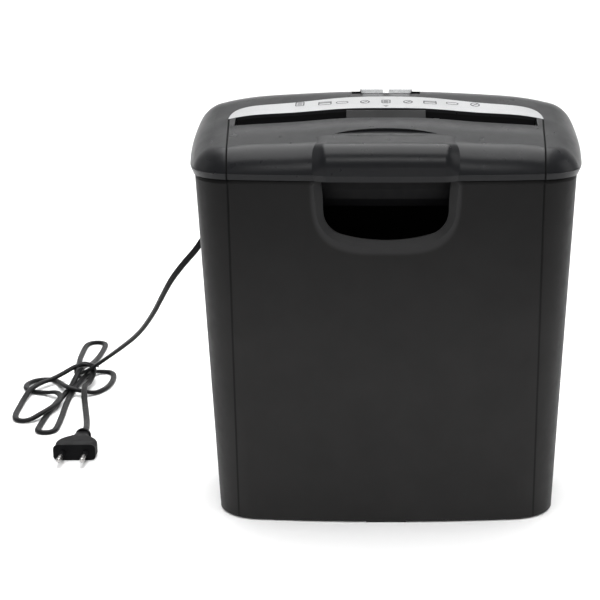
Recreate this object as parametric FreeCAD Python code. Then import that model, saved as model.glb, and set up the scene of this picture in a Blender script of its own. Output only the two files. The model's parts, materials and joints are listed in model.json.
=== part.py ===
import FreeCAD, Part
import math
import os
from FreeCAD import Vector

# Paper shredder: a strip-cut head standing on a waste bin, millimetres.
# Origin: centre of the footprint, on the floor. +Z up, front is -Y, +X to the right.

os.makedirs("parts", exist_ok=True)

# ---------------------------------------------------------------- driving dimensions
RIM_Z = 262.5                 # underside of the head's outer shell
HEAD_HALF_WIDTH = 146.4       # at the widest point of the bowed sides
HEAD_FRONT = -80.0            # front face beside the grip pad
HEAD_REAR = 84.0
HEAD_BOW = 950.0              # radius of the bowed front in plan
SIDE_BOW = 300.0              # radius of the bowed sides in plan, head and bin
SIDE_MIDDLE_Y = 8.0           # where the sides are widest
HEAD_FRONT_CORNER = 34.5
HEAD_REAR_CORNER = 26.0
HEAD_TOP_ROUND = 24.0         # rounding between the walls and the crowned top
HEAD_LIP_HEIGHT = 4.5         # tapered lower edge of the head
HEAD_LIP_INSET = 1.8
FRONT_CROWN = 2.3e-4          # fall of the top towards its ends, per square millimetre
CREST_CROWN = 1.24e-4
END_CROWN = 2.73e-8           # extra fall close to the ends
SHOULDER_DROP = 1.75          # extra fall halfway to the ends
LIP_DIP = 2.6                 # how far the slot's front lip is sunk
SHELL_WALL = 2.5
FASCIA_WALL = 3.2
# height of the crest line of the head, from front to rear (y, z)
PROFILE = [(-110, 278.0), (-80, 285.2), (-60, 290.3), (-40, 294.6), (-20, 299.4), (0, 303.9),
           (14, 306.6), (26, 308.8), (38, 310.8), (50, 309.6), (64, 306.4), (80, 301.6), (110, 292)]
# rear edge of the control panel, from the middle to its end (x, y)
PANEL_REAR_EDGE = [(0, 26.4), (30, 25.0), (57, 21.6), (80, 19.6), (98, 19.0), (108, 17.6), (113.8, 14.2),
                   (117.0, 7.6)]

BIN_BASE_Z = 1.2
BIN_TOP_Z = 262.2
BIN_TOP_HALF_WIDTH = 143.3
BIN_BASE_HALF_WIDTH = 130.3
BIN_BOW = 930.0
BIN_FRONT_CORNER = 34.0
BIN_REAR_CORNER = 24.0
BIN_TOP_FRONT = -78.0
BIN_BASE_FRONT = -68.0
BIN_TOP_REAR = 82.0
BIN_BASE_REAR = 72.0
BIN_WALL = 2.2
BIN_RIM_HEIGHT = 3.0
BIN_RIM_INSET = 1.8

WINDOW_HALF_WIDTH = 45.0      # hand hole in the bin's front wall
WINDOW_FLARE = 1.6            # how much wider it is at the rim
WINDOW_DEPTH = 44.0           # below the rim
WINDOW_CORNER = 18.0
WINDOW_SAG_RADIUS = 118.0
WINDOW_BEVEL = 8.0            # width of the sunk bevel round the hole
WINDOW_SINK = 6.0             # how far the hole's edge is sunk behind the front

SEAM_FRONT = 113.2            # half-width of the front fascia, at the front and at the slot
SEAM_REAR = 117.6
SLOT_HALF_LENGTH = 112.5
SLOT_FRONT = -13.0
SLOT_REAR = 0.0
GAP = 0.25                    # joint line between two neighbouring covers

PAD_HALF_WIDTH = 42.0         # grip pad in the middle of the fascia
PAD_FOOT_HALF_WIDTH = 57.0
PAD_FRONT = -84.0

BASE_FLANGE_Z = 263.6         # flange of the head base, under the covers
BASE_BOTTOM_Z = 238.4
TUB_FRONT = -54.0             # tub that hangs into the bin
TUB_REAR = 76.0
TUB_HALF_WIDTH = 131.0
BASE_SCREWS = ((119.2, -39.5), (121.0, 71.0))

CUTTER_Z = 266.0
CUTTER_Y_FRONT = -16.25
CUTTER_Y_REAR = 6.25
CUTTER_RADIUS = 12.6
CUTTER_PITCH = 13.0
CUTTER_WIDTH = 6.2
CUTTER_COUNT = 17
SHAFT_RADIUS = 5.0
SPACER_RADIUS = 8.0
JOURNAL_RADIUS = 4.0
PLATE_X = 113.4               # inner faces of the two side plates
PLATE_THICKNESS = 1.6
BUSH_RADIUS = 6.2
TIE_RODS = ((-29.0, 252.0), (-31.5, 280.0), (24.0, 249.0), (27.0, 283.0))
PIN_RADIUS = 2.0               # pins of the two reduction gears

PRESSURE_ANGLE = math.radians(25)
SYNC_TEETH = 15
SYNC_MODULE = 1.5
MAIN_TEETH = 34
PINION_TEETH = 12
WHEEL_TEETH = 40
LAST_STAGE_MODULE = 1.0
FAST_STAGE_MODULE = 0.8
BACKLASH = 0.18
STAGE_TWO_DIRECTION = -14.0   # degrees from one gear centre to the next
STAGE_ONE_DIRECTION = 50.0
MOTOR_DIRECTION = 0.0
LAYER_A = (116.0, 120.4)      # main wheel, next to the plate
LAYER_B = (121.0, 124.4)
LAYER_C = (125.0, 128.4)
MOTOR_RADIUS = 17.0
MOTOR_LENGTH = 56.0
MOTOR_SHAFT_RADIUS = 1.6
SWITCH_Y = 40.0
SWITCH_TRAVEL = 6.0
PLUNGER_X = -85.0             # interlock plunger, pressed by a tab on the bin
PLUNGER_Y = -61.5
PLUNGER_RADIUS = 2.5
PLUNGER_TIP_Z = 253.0
BOARD_Z = 262.0
SENSOR_PIVOT = (9.0, 292.5)         # (y, z)

CORD_RADIUS = 2.6
CORD_EXIT = Vector(-106.0, 84.0, 273.4)
RELIEF_LENGTH = 34.0
# corners of the hanging run and of the tail that leads to the plug
ROUTE = [(-106, 117.6, 273.4), (-107.5, 127, 272.4), (-111, 136, 268), (-116, 143, 260), (-122, 148, 249.5),
         (-128, 151, 236), (-134, 152, 219), (-141, 151.5, 201), (-149, 150, 183), (-159.5, 148, 164.5),
         (-174, 153, 148), (-186, 161, 132), (-196, 175, 113.5), (-208, 195, 91), (-225, 223, 66),
         (-244, 250, 46.5), (-262, 271, 30), (-278, 286, 16), (-289, 295, 7.6), (-297, 304, 4.4)]
TAIL = [(-281, 268, 4.4), (-281.5, 251, 8.6), (-279, 231, 8.4), (-274.5, 210, 3.4), (-270, 189, 2.8),
        (-265.5, 167, 2.8), (-262, 147, 4.2), (-259.5, 129, 6.2), (-259, 112, 6.85)]
TIE_PLACE = Vector(-290.0, 297.0, 8.4)            # where the tie holds the hank
PLUG_NECK = Vector(-259, 112, 6.85)
PLUG_TURN = 0.0
PLUG_HALF_THICKNESS = 6.85


# ---------------------------------------------------------------- small tools
def save(name, shape):
    shape.exportStep("parts/" + name + ".step")


def box(x0, x1, y0, y1, z0, z1):
    return Part.makeBox(x1 - x0, y1 - y0, z1 - z0, Vector(x0, y0, z0))


def rod(x0, x1, y, z, radius):
    """Cylinder along X."""
    return Part.makeCylinder(radius, x1 - x0, Vector(x0, y, z), Vector(1, 0, 0))


def post(x, y, z0, z1, radius):
    return Part.makeCylinder(radius, z1 - z0, Vector(x, y, z0))


def union(shapes):
    return shapes[0].fuse(shapes[1:]).removeSplitter()


def prism_x(points, x0, x1):
    """Extrude a polygon given as (y, z) pairs from x0 to x1."""
    ring = [Vector(x0, y, z) for y, z in points]
    return Part.Face(Part.makePolygon(ring + ring[:1])).extrude(Vector(x1 - x0, 0, 0))


def prism_z(points, z0, z1):
    """Extrude a polygon given as (x, y) pairs from z0 to z1."""
    ring = [Vector(x, y, z0) for x, y in points]
    return Part.Face(Part.makePolygon(ring + ring[:1])).extrude(Vector(0, 0, z1 - z0))


def smoothstep(value):
    t = max(0.0, min(1.0, value))
    return t * t * (3 - 2 * t)


def curve_value(knots, at):
    """Smooth curve through (place, value) knots."""
    last = len(knots) - 2
    i = 0
    while i < last and at > knots[i + 1][0]:
        i += 1

    def slope(k):
        a = knots[max(k - 1, 0)]
        b = knots[min(k + 1, len(knots) - 1)]
        return (b[1] - a[1]) / (b[0] - a[0])

    (start, low), (end, high) = knots[i], knots[i + 1]
    span = end - start
    t = (at - start) / span
    return (low * (2 * t**3 - 3 * t**2 + 1) + slope(i) * span * (t**3 - 2 * t**2 + t)
            + high * (3 * t**2 - 2 * t**3) + slope(i + 1) * span * (t**3 - t**2))


# ---------------------------------------------------------------- outlines
def left(point):
    """The same point on the left-hand side."""
    return Vector(-point.x, point.y, point.z)


def bowed_corner(half_width, radius, bow):
    """Corner between a straight side and a bowed edge through the origin: (tangent, middle, side)."""
    centre_x = half_width - radius
    centre_y = bow - math.sqrt((bow - radius) ** 2 - centre_x ** 2)
    angle = math.atan2(centre_y - bow, centre_x)
    tangent = (bow * math.cos(angle), bow + bow * math.sin(angle))
    middle = (centre_x + radius * math.cos(angle / 2), centre_y + radius * math.sin(angle / 2))
    return tangent, middle, (half_width, centre_y)


def closed_plan(tangent, middle, side_front, side, side_rear, rear_middle, rear_side, front, z):
    """Closed symmetrical outline through the right-hand points given; side is one edge."""
    def at(point):
        return Vector(point[0], point[1], z)

    tangent, middle, side_front = at(tangent), at(middle), at(side_front)
    side_rear, rear_middle, rear_side = at(side_rear), at(rear_middle), at(rear_side)
    left_side = side.mirror(Vector(0, 0, 0), Vector(1, 0, 0)).Edges[0]
    return Part.Wire([Part.Arc(left(tangent), Vector(0, front, z), tangent).toShape(),
                      Part.Arc(tangent, middle, side_front).toShape(),
                      side,
                      Part.Arc(side_rear, rear_middle, rear_side).toShape(),
                      Part.makeLine(rear_side, left(rear_side)),
                      Part.Arc(left(rear_side), left(rear_middle), left(side_rear)).toShape(),
                      left_side,
                      Part.Arc(left(side_front), left(middle), left(tangent)).toShape()])


def straight_plan(half_width, front, rear, front_corner, rear_corner, bow, z):
    """Closed plan outline: bowed front, straight sides and rear, rounded corners."""
    tangent, middle, side_front = [(x, front + y) for x, y in bowed_corner(half_width, front_corner, bow)]
    side_rear = (half_width, rear - rear_corner)
    diagonal = rear_corner * math.sqrt(0.5)
    rear_middle = (half_width - rear_corner + diagonal, rear - rear_corner + diagonal)
    side = Part.makeLine(Vector(*side_front, z), Vector(*side_rear, z))
    return closed_plan(tangent, middle, side_front, side, side_rear, rear_middle,
                       (half_width - rear_corner, rear), front, z)


def unit(x, y):
    length = math.hypot(x, y)
    return x / length, y / length


def bowed_plan(half_width, front, rear, front_corner, rear_corner, bow, side_bow, z):
    """Closed plan outline: bowed front and sides, straight rear, corners tangent to both."""
    front_centre_y = front + bow
    side_centre_x = half_width - side_bow
    to_front = bow - front_corner
    to_side = side_bow - front_corner
    across = side_centre_x
    down = SIDE_MIDDLE_Y - front_centre_y
    apart = math.hypot(across, down)
    reach = (to_front**2 - to_side**2 + apart**2) / (2 * apart)
    offset = math.sqrt(to_front**2 - reach**2)
    x = (across * reach - down * offset) / apart
    y = front_centre_y + (down * reach + across * offset) / apart
    ahead = unit(x, y - front_centre_y)
    aside = unit(x - side_centre_x, y - SIDE_MIDDLE_Y)
    between = unit(ahead[0] + aside[0], ahead[1] + aside[1])
    tangent = (x + front_corner * ahead[0], y + front_corner * ahead[1])
    middle = (x + front_corner * between[0], y + front_corner * between[1])
    side_front = (x + front_corner * aside[0], y + front_corner * aside[1])

    y = rear - rear_corner
    x = side_centre_x + math.sqrt((side_bow - rear_corner) ** 2 - (y - SIDE_MIDDLE_Y) ** 2)
    aside = unit(x - side_centre_x, y - SIDE_MIDDLE_Y)
    between = unit(aside[0], aside[1] + 1)
    side_rear = (x + rear_corner * aside[0], y + rear_corner * aside[1])
    rear_middle = (x + rear_corner * between[0], y + rear_corner * between[1])
    side = Part.Arc(Vector(*side_front, z), Vector(half_width, SIDE_MIDDLE_Y, z),
                    Vector(*side_rear, z)).toShape()
    return closed_plan(tangent, middle, side_front, side, side_rear, rear_middle, (x, rear), front, z)


def head_plan(inset, z):
    return bowed_plan(HEAD_HALF_WIDTH - inset, HEAD_FRONT + inset, HEAD_REAR - inset,
                      HEAD_FRONT_CORNER - inset, HEAD_REAR_CORNER - inset, HEAD_BOW - inset,
                      SIDE_BOW - inset, z)


def bin_plan(inset, z):
    share = (z - BIN_BASE_Z) / (BIN_TOP_Z - BIN_BASE_Z)
    half_width = BIN_BASE_HALF_WIDTH + share * (BIN_TOP_HALF_WIDTH - BIN_BASE_HALF_WIDTH)
    front = BIN_BASE_FRONT + share * (BIN_TOP_FRONT - BIN_BASE_FRONT)
    rear = BIN_BASE_REAR + share * (BIN_TOP_REAR - BIN_BASE_REAR)
    return bowed_plan(half_width - inset, front + inset, rear - inset,
                      BIN_FRONT_CORNER - inset, BIN_REAR_CORNER - inset, BIN_BOW - inset,
                      SIDE_BOW - inset, z)


# ---------------------------------------------------------------- head envelope
def crown_fall(x, crest_share):
    """Fall of the top from its centre line at x; crest_share goes from 0 at the front to 1 at the crest."""
    shoulder = smoothstep((abs(x) - 20) / 50) * smoothstep((112 - abs(x)) / 42)
    crown = FRONT_CROWN + crest_share * (CREST_CROWN - FRONT_CROWN)
    return crown * x**2 + END_CROWN * x**4 + SHOULDER_DROP * (1 - 0.6 * crest_share) * shoulder


def head_height(x, y):
    """Height of the crowned top above the floor, before its edges are rounded."""
    near_slot = smoothstep((y + 40) / 27) * smoothstep(-y / 13) * smoothstep((128 - abs(x)) / 30)
    return curve_value(PROFILE, y) - crown_fall(x, smoothstep(y / 40)) - LIP_DIP * near_slot


def under_surface(inset):
    """Everything below the crowned top, lowered by inset."""
    columns = [[Vector(x, y, head_height(x, y) - inset) for y in range(-104, 105, 8)]
               for x in range(-160, 161, 16)]
    surface = Part.BSplineSurface()
    surface.interpolate(columns)
    return surface.toShape().extrude(Vector(0, 0, -120))


def head_block(inset, base_z=RIM_Z):
    """The head's envelope, moved inwards by inset on every side."""
    column = Part.Face(head_plan(inset, RIM_Z - 10)).extrude(Vector(0, 0, 80))
    block = column.common(under_surface(inset)).Solids[0]
    top = max(block.Faces, key=lambda face: face.CenterOfMass.z)
    block = block.makeFillet(HEAD_TOP_ROUND - inset, top.Edges)
    if inset > 0:
        return block.cut(box(-200, 200, -200, 200, 200, base_z))
    block = block.cut(box(-200, 200, -200, 200, 200, RIM_Z + HEAD_LIP_HEIGHT))
    lip = Part.makeLoft([head_plan(HEAD_LIP_INSET, RIM_Z),
                         head_plan(0, RIM_Z + HEAD_LIP_HEIGHT)], True, True)
    return block.fuse(lip)


print("envelope")


OUTER = head_block(0)
INNER = head_block(SHELL_WALL, RIM_Z - 5)
INNER_FASCIA = head_block(FASCIA_WALL, RIM_Z - 5)


def fascia_zone(gap):
    """Plan region of the front fascia; gap > 0 makes it larger."""
    rear = SLOT_REAR - GAP + gap
    half_front = SEAM_FRONT + gap
    half_rear = SEAM_REAR + gap
    return prism_z([(-half_front, -120), (half_front, -120), (half_front, -80), (half_rear, rear),
                    (-half_rear, rear), (-half_front, -80)], 200, 340)


def panel_zone(gap):
    """Lens-shaped plan region of the control panel."""
    scale = 1 + gap / 118
    rim = [Vector(x * scale, y + gap, 280) for x, y in PANEL_REAR_EDGE]
    right_end = Vector(118 * scale, SLOT_REAR, 280)
    left_rim = [Vector(-point.x, point.y, 280) for point in rim[1:]]
    left_end = Vector(-right_end.x, SLOT_REAR, 280)
    rear_edge = Part.BSplineCurve()
    rear_edge.interpolate([left_end] + left_rim[::-1] + rim + [right_end])
    outline = Part.Wire([rear_edge.toShape(), Part.makeLine(right_end, left_end)])
    return Part.Face(outline).extrude(Vector(0, 0, 60))


# ---------------------------------------------------------------- bin
def window_outline(grow, y):
    """Hand hole outline, open at the top, moved outwards by grow: round corners, sagging bottom."""
    half_width = WINDOW_HALF_WIDTH + grow
    bottom = RIM_Z - WINDOW_DEPTH - grow
    corner = bowed_corner(half_width, WINDOW_CORNER + grow, WINDOW_SAG_RADIUS + grow)
    tangent, middle, side = [Vector(x, y, bottom + z) for x, z in corner]
    flare = WINDOW_FLARE
    rise = (RIM_Z - side.z) / 2
    side_middle = Vector(half_width + flare / 4, y, side.z + rise)
    side_top = Vector(half_width + flare, y, RIM_Z)
    top = Vector(half_width + flare, y, RIM_Z + 20)
    return Part.Wire([Part.makeLine(left(top), left(side_top)),
                      Part.Arc(left(side_top), left(side_middle), left(side)).toShape(),
                      Part.Arc(left(side), left(middle), left(tangent)).toShape(),
                      Part.Arc(left(tangent), Vector(0, y, bottom), tangent).toShape(),
                      Part.Arc(tangent, middle, side).toShape(),
                      Part.Arc(side, side_middle, side_top).toShape(),
                      Part.makeLine(side_top, top),
                      Part.makeLine(top, left(top))])


def make_waste_bin():
    step_z = BIN_TOP_Z - BIN_RIM_HEIGHT
    outer = Part.makeLoft([bin_plan(0, BIN_BASE_Z), bin_plan(0, step_z)], True, True)
    rim = Part.makeLoft([bin_plan(0, step_z), bin_plan(BIN_RIM_INSET, BIN_TOP_Z)], True, True)
    outer = outer.fuse(rim)
    inner = Part.makeLoft([bin_plan(BIN_WALL, BIN_BASE_Z + 2.5),
                           bin_plan(BIN_WALL, step_z - 3)], True, True)
    neck = Part.makeLoft([bin_plan(BIN_WALL, step_z - 3),
                          bin_plan(BIN_WALL + BIN_RIM_INSET, BIN_TOP_Z + 5)], True, True)
    collar = Part.Face(window_outline(WINDOW_BEVEL + 3, BIN_TOP_FRONT - 2)).extrude(
        Vector(0, WINDOW_SINK + 4, 0))
    below_rim = box(-200, 200, -200, 200, 150, BIN_TOP_Z)
    collar = collar.common(outer).common(below_rim)
    walls = outer.cut(inner).cut(neck).fuse(collar)
    outer_grow = WINDOW_BEVEL * (1 + 3 / WINDOW_SINK)
    bevel = Part.makeLoft([window_outline(outer_grow, BIN_TOP_FRONT - 3),
                           window_outline(0, BIN_TOP_FRONT + WINDOW_SINK)], True, True)
    hole = Part.Face(window_outline(0, BIN_TOP_FRONT - 2)).extrude(Vector(0, 30, 0))
    walls = walls.cut(bevel).cut(hole)
    for side in (-1, 1):
        walls = walls.cut(bin_groove(side))
    tab = box(PLUNGER_X - 4, PLUNGER_X + 4, BIN_TOP_FRONT + 5.7, PLUNGER_Y + 4, 232, PLUNGER_TIP_Z - 0.3)
    slope = prism_x([(PLUNGER_Y + 5, 252), (PLUNGER_Y + 5, 220), (-80, 220), (-80, 230)],
                    PLUNGER_X - 5, PLUNGER_X + 5)
    return walls.fuse(tab.cut(slope)).removeSplitter()


def bin_groove(side):
    """Fine vertical groove that carries the head's seam down the bin's front."""
    sections = []
    for z in (BIN_BASE_Z - 1, BIN_TOP_Z + 1):
        share = (z - BIN_BASE_Z) / (BIN_TOP_Z - BIN_BASE_Z)
        x = side * (110.0 + 3.0 * share)
        front = BIN_BASE_FRONT + share * (BIN_TOP_FRONT - BIN_BASE_FRONT)
        skin = front + BIN_BOW - math.sqrt(BIN_BOW**2 - x**2)
        depth = 0.9
        corners = [Vector(x - 0.6, skin - 6, z), Vector(x + 0.6, skin - 6, z),
                   Vector(x + 0.6, skin + depth, z), Vector(x - 0.6, skin + depth, z)]
        sections.append(Part.makePolygon(corners + corners[:1]))
    return Part.makeLoft(sections, True, True)


def make_bin_feet():
    feet = [box(-15, 15, BIN_BASE_FRONT + 0.6, BIN_BASE_FRONT + 8, 0, BIN_BASE_Z)]
    feet.append(box(-15, 15, BIN_BASE_REAR - 9, BIN_BASE_REAR - 2, 0, BIN_BASE_Z))
    for side in (-1, 1):
        x = side * (BIN_BASE_HALF_WIDTH - 10)
        feet.append(box(x - 4, x + 4, -15, 15, 0, BIN_BASE_Z))
    return Part.makeCompound(feet)


# ---------------------------------------------------------------- head covers
def pad_section(x):
    """YZ section of the grip pad at x; it melts into the fascia towards its two sides."""
    share = smoothstep((PAD_FOOT_HALF_WIDTH - abs(x)) / (PAD_FOOT_HALF_WIDTH - PAD_HALF_WIDTH))
    crown = FRONT_CROWN * x**2
    front = HEAD_FRONT + 1.8 + x**2 / (2 * HEAD_BOW) + share * (PAD_FRONT - HEAD_FRONT - 1.8)
    radius = 21.0 - 5.0 * share
    shoulder = 287.0 + 2.4 * share - crown
    rear_z = 290.0 + 1.9 * share - crown
    tangent_z = shoulder - radius
    points = [Vector(x, front + 1.8, RIM_Z), Vector(x, front, RIM_Z + HEAD_LIP_HEIGHT)]
    knee = Vector(x, front, tangent_z)
    over = Vector(x, front + radius * (1 - math.cos(math.radians(84))),
                  tangent_z + radius * math.sin(math.radians(84)))
    half = Vector(x, front + radius * (1 - math.cos(math.radians(42))),
                  tangent_z + radius * math.sin(math.radians(42)))
    back_top = Vector(x, -52, rear_z)
    back_low = Vector(x, -52, RIM_Z)
    return Part.Wire([Part.makeLine(points[0], points[1]),
                      Part.makeLine(points[1], knee),
                      Part.Arc(knee, half, over).toShape(),
                      Part.makeLine(over, back_top),
                      Part.makeLine(back_top, back_low),
                      Part.makeLine(back_low, points[0])])


def make_grip_pad():
    """A straight middle and two flanks that fall away to the fascia."""
    middle = Part.makeLoft([pad_section(-42), pad_section(0), pad_section(42)], True, True)
    flanks = []
    for side in (-1, 1):
        stations = [side * x for x in (42, 44.5, 47, 49.5, 52, 54.5, 57)]
        flanks.append(Part.makeLoft([pad_section(x) for x in stations], True, False))
    return middle.fuse(flanks)


def make_arc_step():
    """The shallow arc-shaped step where the pad's top begins."""
    arc = Part.Arc(Vector(-47, -54, 280), Vector(0, -39.5, 280), Vector(47, -54, 280)).toShape()
    outline = Part.Wire([arc, Part.makeLine(Vector(47, -54, 280), Vector(-47, -54, 280))])
    zone = Part.Face(outline).extrude(Vector(0, 0, 60))
    sections = []
    for x in (-50, -25, 0, 25, 50):
        crown = FRONT_CROWN * x**2
        corners = [Vector(x, -56, 291.9 - crown), Vector(x, -36, 292.9 - crown),
                   Vector(x, -36, 320), Vector(x, -56, 320)]
        sections.append(Part.makePolygon(corners + corners[:1]))
    return zone.common(Part.makeLoft(sections, True, True))


def make_front_fascia():
    block = OUTER.common(fascia_zone(-GAP))
    solid = block.fuse(make_grip_pad()).cut(make_arc_step())
    solid = solid.cut(INNER_FASCIA)
    slot = box(-SLOT_HALF_LENGTH, SLOT_HALF_LENGTH, SLOT_FRONT, 20, 240, 340)
    return solid.cut(slot).removeSplitter()


def make_head_shell():
    shell = OUTER.cut(INNER)
    shell = shell.cut(fascia_zone(0)).cut(panel_zone(GAP))
    tray = box(-29, 29, SWITCH_Y - 9.5, SWITCH_Y + 9.5, 305.4, 309.2).common(OUTER)
    shell = shell.fuse(tray)
    recess = box(-26.4, 26.4, SWITCH_Y - 7, SWITCH_Y + 7, 308.0, 320)
    slot = box(-5 - SWITCH_TRAVEL, 5 + SWITCH_TRAVEL, SWITCH_Y - 2.6, SWITCH_Y + 2.6, 300, 320)
    shell = shell.cut(recess).cut(slot)
    cord_hole = Part.makeCylinder(6.0, 12, CORD_EXIT - Vector(0, 8, 0), Vector(0, 1, 0))
    shell = shell.cut(cord_hole)
    under_top = head_block(0.4)
    for x, y in base_screw_places():
        boss = post(x, y, BASE_FLANGE_Z + 2.7, 320, 4.0).common(under_top)
        shell = shell.fuse(boss).cut(post(x, y, 260, BASE_FLANGE_Z + 10, 1.65))
    for row in range(4):
        z = 271.0 + row * 5.0
        shell = shell.cut(box(30, 96, HEAD_REAR - 9, HEAD_REAR + 4, z, z + 2.2))
    return shell.removeSplitter()


def make_control_panel():
    plate = OUTER.cut(INNER).common(panel_zone(0))
    return plate.cut(box(-200, 200, -20, SLOT_REAR + 0.02, 200, 340)).removeSplitter()


def make_card_guide():
    """Sloping grey ramp in the middle of the slot's rear wall."""
    return prism_x([(-0.4, 302.6), (-3.0, 302.0), (-8.2, 296.6), (-8.2, 295.0), (-2.0, 288.0),
                    (0.3, 288.0), (0.3, 300.4), (-0.4, 300.4)], -29.5, 29.5)


def make_throat_rear():
    wall = box(-112, 112, 0.3, 2.3, 279.5, 320).common(head_block(SHELL_WALL + 0.25))
    return wall.cut(box(34.5, 41.5, -5, 6, 283.5, 296)).removeSplitter()


def make_throat_front():
    throat = prism_x([(-13.4, 320), (-13.4, 294), (-8.6, 279.5), (-10.8, 279.5), (-15.6, 293),
                      (-15.6, 320)], -112, 112)
    return throat.common(head_block(FASCIA_WALL + 0.25)).removeSplitter()


# ---------------------------------------------------------------- head base
def tub_plan(inset, front_inset, z):
    return straight_plan(TUB_HALF_WIDTH - inset, TUB_FRONT + front_inset, TUB_REAR - inset,
                         26 - inset, 12 - inset, 900, z)


def tub_body(inset, lift):
    """Tub with its front lower edge drawn back."""
    return Part.makeLoft([tub_plan(inset + 1.0, inset + 8.0, BASE_BOTTOM_Z + lift),
                          tub_plan(inset + 0.5, inset + 2.5, BASE_BOTTOM_Z + 6.5 + lift / 2),
                          tub_plan(inset, inset, BASE_BOTTOM_Z + 14),
                          tub_plan(inset, inset, BASE_FLANGE_Z + 0.5 + lift)], True, True)


def base_screw_places():
    return [(side * x, y) for side in (-1, 1) for x, y in BASE_SCREWS]


def make_head_base():
    """Tub under the cutters, with a flange that closes the head and a slot for the strips."""
    flange = Part.Face(head_plan(SHELL_WALL + 1.2, BASE_FLANGE_Z)).extrude(Vector(0, 0, 2.4))
    base = flange.fuse(tub_body(0, 0)).cut(tub_body(2.2, 2.2))
    base = base.cut(box(-112, 112, -32, 22, BASE_BOTTOM_Z - 1, BASE_BOTTOM_Z + 6))
    ribs = [box(x - 0.9, x + 0.9, TUB_FRONT + 1.0, TUB_FRONT + 14, BASE_BOTTOM_Z + 1.0, BASE_BOTTOM_Z + 9)
            for x in (-90, -60, 60, 90)]
    bosses = [post(x, y, BASE_BOTTOM_Z + 0.5, BASE_FLANGE_Z + 2.4, 3.6) for x, y in base_screw_places()]
    base = base.fuse(ribs + bosses)
    for x, y in base_screw_places():
        base = base.cut(post(x, y, BASE_BOTTOM_Z - 2, BASE_FLANGE_Z + 4, 1.7))
        base = base.cut(post(x, y, BASE_BOTTOM_Z - 2, BASE_BOTTOM_Z + 3, 3.2))
    plunger_hole = post(PLUNGER_X, PLUNGER_Y, BASE_FLANGE_Z - 1, BASE_FLANGE_Z + 4, PLUNGER_RADIUS + 0.06)
    base = base.cut(motor_rod(MOTOR_BACK_X - 14, PLATE_X + 1, MOTOR_RADIUS + 0.6))
    return base.cut(plunger_hole).removeSplitter()


# ---------------------------------------------------------------- cutters
def serrated_disc(x0, y, z):
    """Cutter disc with a notched rim, its bore the shaft's radius."""
    points = []
    count = 32
    for i in range(count):
        middle = 2 * math.pi * i / count
        step = 2 * math.pi / count
        for share, radius in ((-0.5, CUTTER_RADIUS - 0.7), (-0.3, CUTTER_RADIUS), (0.3, CUTTER_RADIUS)):
            angle = middle + share * step
            points.append((y + radius * math.cos(angle), z + radius * math.sin(angle)))
    return prism_x(points, x0, x0 + CUTTER_WIDTH)


def make_cutters(y, first_x):
    """Discs and the spacers between them, on one shaft."""
    discs = []
    for i in range(CUTTER_COUNT):
        x0 = first_x + i * CUTTER_PITCH
        spacer_end = min(x0 + CUTTER_PITCH - 0.02, PLATE_X - 0.8)
        disc = serrated_disc(x0, y, CUTTER_Z).fuse(
            rod(x0 + CUTTER_WIDTH, spacer_end, y, CUTTER_Z, SPACER_RADIUS))
        discs.append(disc.cut(rod(x0 - 1, x0 + CUTTER_PITCH + 1, y, CUTTER_Z, SHAFT_RADIUS)))
    return Part.makeCompound(discs)


def make_cutter_shaft(y, left_end, right_end):
    shaft = rod(-PLATE_X + 0.4, PLATE_X - 0.4, y, CUTTER_Z, SHAFT_RADIUS)
    return shaft.fuse(rod(left_end, right_end, y, CUTTER_Z, JOURNAL_RADIUS)).removeSplitter()


def make_comb(y, first_x, outward):
    """Fingers that reach between the discs from the outer side, joined by a bar."""
    bar_y = y + outward * (CUTTER_RADIUS + 4)
    parts = [box(-PLATE_X, PLATE_X, bar_y - 1.5, bar_y + 1.5, CUTTER_Z - 6, CUTTER_Z + 6)]
    for i in range(CUTTER_COUNT):
        x0 = first_x + CUTTER_WIDTH + 0.6 + i * CUTTER_PITCH
        x1 = x0 + CUTTER_PITCH - CUTTER_WIDTH - 1.2
        y0, y1 = sorted((bar_y, y + outward * 2))
        finger = box(max(x0, -112), min(x1, 112), y0, y1, CUTTER_Z - 6, CUTTER_Z + 6)
        parts.append(finger.cut(rod(x0 - 1, x1 + 1, y, CUTTER_Z, SPACER_RADIUS + 0.5)))
    return union(parts)


def plate_outline(right):
    """Cheek outline as (y, z) pairs; the right-hand one reaches back to carry the motor."""
    low = BASE_BOTTOM_Z + 2.2
    front = [(30, 290), (-24, 286), (-36, 276), (-36, 262), (-33, low + 10), (-33, low)]
    if right:
        motor_arm = [(64, low + 8), (72.5, 264), (72.5, 267), (79, 269), (79, 277), (75, 284), (69, 290),
                     (60, 293)]
        return front + [(34, low)] + motor_arm + [(46, 293)]
    return front + [(34, low), (40, low + 8), (40, 282)]


def make_side_plate(side):
    right = side > 0
    x0 = PLATE_X if right else -PLATE_X - PLATE_THICKNESS
    plate = prism_x(plate_outline(right), x0, x0 + PLATE_THICKNESS)
    for y in (CUTTER_Y_FRONT, CUTTER_Y_REAR):
        plate = plate.cut(rod(x0 - 1, x0 + 3, y, CUTTER_Z, BUSH_RADIUS))
    for y, z in TIE_RODS:
        plate = plate.cut(rod(x0 - 1, x0 + 3, y, z, 2.0))
    if right:
        plate = plate.cut(rod(x0 - 1, x0 + 3, MOTOR[0], MOTOR[1], 5.4))
        for y, z in (STAGE_TWO, STAGE_ONE):
            plate = plate.cut(rod(x0 - 1, x0 + 3, y, z, PIN_RADIUS))
        for y, z in MOTOR_SCREWS:
            plate = plate.cut(rod(x0 - 1, x0 + 3, y, z, 1.5))
    return plate


def make_tie_rods():
    rods = []
    for y, z in TIE_RODS:
        body = rod(-PLATE_X + 0.02, PLATE_X - 0.02, y, z, 3.0)
        ends = rod(-PLATE_X - 3.4, PLATE_X + 3.4, y, z, 2.0)
        rods.append(body.fuse(ends).removeSplitter())
    return Part.makeCompound(rods)


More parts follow.
